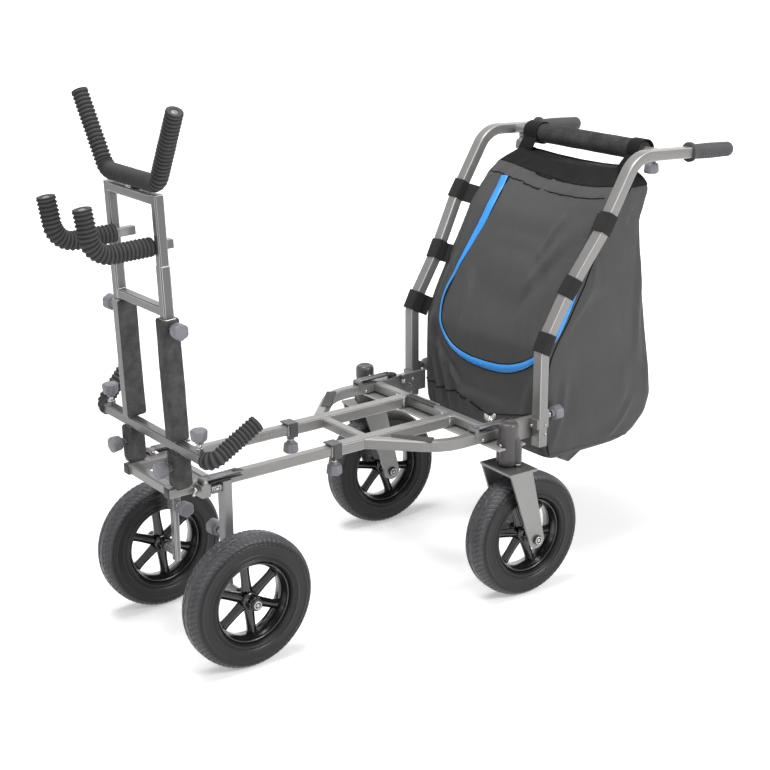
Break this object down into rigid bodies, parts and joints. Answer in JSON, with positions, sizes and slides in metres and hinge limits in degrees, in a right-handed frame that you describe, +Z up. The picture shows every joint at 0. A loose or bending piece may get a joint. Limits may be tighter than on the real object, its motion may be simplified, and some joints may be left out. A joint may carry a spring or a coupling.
{
  "type": "fishing trolley",
  "caption": "Push trolley for fishing tackle: sliding tube chassis, front wheels on legs, swivel casters, adjustable rod rest with ribbed foam arms, zipped bag between raked push handles.",
  "frame": {"origin": "on the floor under the middle of the whole trolley, on its centre plane", "axes": "+X from the rod rest towards the push grips, +Y to the right of someone pushing it forwards, +Z up"},
  "size_m": [1.419, 0.5834, 1.0346],
  "materials": {
    "frame": "satin grey",
    "plate": "satin grey",
    "dark_metal": "satin dark grey",
    "cap": "matte dark grey",
    "knob": "matte mid grey",
    "foam": "matte foam",
    "tyre": "matte",
    "rim": "gloss black",
    "grip": "matte ribbed rubber",
    "bag": "woven"
  },
  "bodies": {
    "chassis": {"rear_frame": "frame", "outer_member_left": "frame", "outer_member_right": "frame", "caster_beam": "plate", "pivot_housing_left": "cap", "pivot_housing_right": "cap", "rail_clamp_left": "dark_metal", "rail_clamp_right": "dark_metal"},
    "front_chassis": {"front_frame": "frame"},
    "butt_frame": {"butt_bar": "frame", "post_left": "frame", "post_right": "frame", "post_foam_left": "foam", "post_foam_right": "foam", "foot_foam_left": "foam", "foot_foam_right": "foam"},
    "rod_rest": {"rest_frame": "frame", "rod_horn_left": "foam", "rod_horn_right": "foam"},
    "rod_cradle": {"cradle": "foam"},
    "handle_frame": {"handle_tube_left": "frame", "handle_tube_right": "frame", "handle_bar": "frame", "bar_pad": "foam", "grip_left": "grip", "grip_right": "grip", "bag": "bag"},
    "front_leg_left": {"front_leg_left": "frame"},
    "front_wheel_left": {"front_tyre_left": "tyre", "front_rim_left": "rim"},
    "caster_left": {"caster_fork_left": "plate"},
    "caster_wheel_left": {"caster_tyre_left": "tyre", "caster_rim_left": "rim"},
    "butt_horn_left": {"butt_horn_left": "foam"},
    "front_latch_left": {"front_latch_left": "dark_metal"},
    "rear_latch_left": {"rear_latch_left": "dark_metal"},
    "leg_knob_left": {"leg_knob_left": "knob"},
    "rail_knob_left": {"rail_knob_left": "knob"},
    "handle_knob_left": {"handle_knob_left": "knob"},
    "bar_knob_left": {"bar_knob_left": "knob"},
    "post_knob_left": {"post_knob_left": "knob"},
    "foot_knob_left": {"foot_knob_left": "knob"},
    "butt_knob_left": {"butt_knob_left": "knob"},
    "front_leg_right": {"front_leg_right": "frame"},
    "front_wheel_right": {"front_tyre_right": "tyre", "front_rim_right": "rim"},
    "caster_right": {"caster_fork_right": "plate"},
    "caster_wheel_right": {"caster_tyre_right": "tyre", "caster_rim_right": "rim"},
    "butt_horn_right": {"butt_horn_right": "foam"},
    "front_latch_right": {"front_latch_right": "dark_metal"},
    "rear_latch_right": {"rear_latch_right": "dark_metal"},
    "leg_knob_right": {"leg_knob_right": "knob"},
    "rail_knob_right": {"rail_knob_right": "knob"},
    "handle_knob_right": {"handle_knob_right": "knob"},
    "bar_knob_right": {"bar_knob_right": "knob"},
    "post_knob_right": {"post_knob_right": "knob"},
    "foot_knob_right": {"foot_knob_right": "knob"},
    "butt_knob_right": {"butt_knob_right": "knob"}
  },
  "joints": [
    {"name": "front_extend", "type": "slide", "parent": "chassis", "child": "front_chassis", "axis": [1, 0, 0], "range_m": [-0.06, 0.14]},
    {"name": "butt_frame_lift", "type": "slide", "parent": "front_chassis", "child": "butt_frame", "axis": [-0.0372, 0, 0.9993], "range_m": [0, 0.07]},
    {"name": "rod_rest_lift", "type": "slide", "parent": "butt_frame", "child": "rod_rest", "axis": [-0.0372, 0, 0.9993], "range_m": [0, 0.13]},
    {"name": "cradle_turn", "type": "hinge", "parent": "rod_rest", "child": "rod_cradle", "pos_m": [-0.56478, 0, 0.88333], "axis": [-0.0372, 0, 0.9993], "range_deg": [-90, 90]},
    {"name": "handle_lift", "type": "slide", "parent": "chassis", "child": "handle_frame", "axis": [0, 0, 1], "range_m": [-0.02, 0.12]},
    {"name": "front_leg_slide_left", "type": "slide", "parent": "front_chassis", "child": "front_leg_left", "axis": [0, 0, 1], "range_m": [-0.04, 0.025]},
    {"name": "front_wheel_spin_left", "type": "hinge", "parent": "front_leg_left", "child": "front_wheel_left", "pos_m": [-0.46221, -0.164, 0.13], "axis": [0, 1, 0], "continuous": true},
    {"name": "caster_swivel_left", "type": "hinge", "parent": "chassis", "child": "caster_left", "pos_m": [0.10129, -0.238, 0.3], "axis": [0, 0, 1], "continuous": true},
    {"name": "caster_wheel_spin_left", "type": "hinge", "parent": "caster_left", "child": "caster_wheel_left", "pos_m": [0.14026, -0.23957, 0.13], "axis": [0.0401, 0.9992, 0], "continuous": true},
    {"name": "butt_horn_swivel_left", "type": "hinge", "parent": "butt_frame", "child": "butt_horn_left", "pos_m": [-0.54779, -0.2, 0.42664], "axis": [0, 1, 0], "continuous": true},
    {"name": "front_latch_turn_left", "type": "hinge", "parent": "front_chassis", "child": "front_latch_left", "pos_m": [-0.50821, -0.098, 0.3522], "axis": [0, -1, 0], "range_deg": [0, 80]},
    {"name": "rear_latch_turn_left", "type": "hinge", "parent": "chassis", "child": "rear_latch_left", "pos_m": [0.04979, -0.194, 0.3532], "axis": [0, -1, 0], "range_deg": [0, 80]},
    {"name": "leg_knob_turn_left", "type": "hinge", "parent": "front_chassis", "child": "leg_knob_left", "pos_m": [-0.46221, -0.0854, 0.236], "axis": [0, 1, 0], "continuous": true},
    {"name": "rail_knob_turn_left", "type": "hinge", "parent": "chassis", "child": "rail_knob_left", "pos_m": [-0.20321, -0.076, 0.3217], "axis": [0, 0, -1], "continuous": true},
    {"name": "handle_knob_turn_left", "type": "hinge", "parent": "chassis", "child": "handle_knob_left", "pos_m": [0.22509, -0.2095, 0.353], "axis": [1, 0, 0], "continuous": true},
    {"name": "bar_knob_turn_left", "type": "hinge", "parent": "handle_frame", "child": "bar_knob_left", "pos_m": [0.51179, -0.19665, 0.8267], "axis": [0, 0, -1], "continuous": true},
    {"name": "post_knob_turn_left", "type": "hinge", "parent": "butt_frame", "child": "post_knob_left", "pos_m": [-0.55601, -0.0983, 0.64749], "axis": [0, -1, 0], "continuous": true},
    {"name": "foot_knob_turn_left", "type": "hinge", "parent": "butt_frame", "child": "foot_knob_left", "pos_m": [-0.55887, -0.0858, 0.3882], "axis": [-0.9993, 0, -0.0372], "continuous": true},
    {"name": "butt_knob_turn_left", "type": "hinge", "parent": "butt_frame", "child": "butt_knob_left", "pos_m": [-0.54817, -0.165, 0.43664], "axis": [-0.0372, 0, 0.9993], "continuous": true},
    {"name": "front_leg_slide_right", "type": "slide", "parent": "front_chassis", "child": "front_leg_right", "axis": [0, 0, 1], "range_m": [-0.04, 0.025]},
    {"name": "front_wheel_spin_right", "type": "hinge", "parent": "front_leg_right", "child": "front_wheel_right", "pos_m": [-0.46221, 0.164, 0.13], "axis": [0, 1, 0], "continuous": true},
    {"name": "caster_swivel_right", "type": "hinge", "parent": "chassis", "child": "caster_right", "pos_m": [0.10129, 0.238, 0.3], "axis": [0, 0, 1], "continuous": true},
    {"name": "caster_wheel_spin_right", "type": "hinge", "parent": "caster_right", "child": "caster_wheel_right", "pos_m": [0.1402, 0.23528, 0.13], "axis": [0.0698, 0.9976, 0], "continuous": true},
    {"name": "butt_horn_swivel_right", "type": "hinge", "parent": "butt_frame", "child": "butt_horn_right", "pos_m": [-0.54779, 0.2, 0.42664], "axis": [0, 1, 0], "continuous": true},
    {"name": "front_latch_turn_right", "type": "hinge", "parent": "front_chassis", "child": "front_latch_right", "pos_m": [-0.50821, 0.098, 0.3522], "axis": [0, -1, 0], "range_deg": [0, 80]},
    {"name": "rear_latch_turn_right", "type": "hinge", "parent": "chassis", "child": "rear_latch_right", "pos_m": [0.04979, 0.194, 0.3532], "axis": [0, -1, 0], "range_deg": [0, 80]},
    {"name": "leg_knob_turn_right", "type": "hinge", "parent": "front_chassis", "child": "leg_knob_right", "pos_m": [-0.46221, 0.0854, 0.236], "axis": [0, -1, 0], "continuous": true},
    {"name": "rail_knob_turn_right", "type": "hinge", "parent": "chassis", "child": "rail_knob_right", "pos_m": [-0.20321, 0.076, 0.3217], "axis": [0, 0, -1], "continuous": true},
    {"name": "handle_knob_turn_right", "type": "hinge", "parent": "chassis", "child": "handle_knob_right", "pos_m": [0.22509, 0.2095, 0.353], "axis": [1, 0, 0], "continuous": true},
    {"name": "bar_knob_turn_right", "type": "hinge", "parent": "handle_frame", "child": "bar_knob_right", "pos_m": [0.51179, 0.19665, 0.8267], "axis": [0, 0, -1], "continuous": true},
    {"name": "post_knob_turn_right", "type": "hinge", "parent": "butt_frame", "child": "post_knob_right", "pos_m": [-0.55601, 0.0983, 0.64749], "axis": [0, 1, 0], "continuous": true},
    {"name": "foot_knob_turn_right", "type": "hinge", "parent": "butt_frame", "child": "foot_knob_right", "pos_m": [-0.55887, 0.0858, 0.3882], "axis": [-0.9993, 0, -0.0372], "continuous": true},
    {"name": "butt_knob_turn_right", "type": "hinge", "parent": "butt_frame", "child": "butt_knob_right", "pos_m": [-0.54817, 0.165, 0.43664], "axis": [-0.0372, 0, 0.9993], "continuous": true}
  ]
}
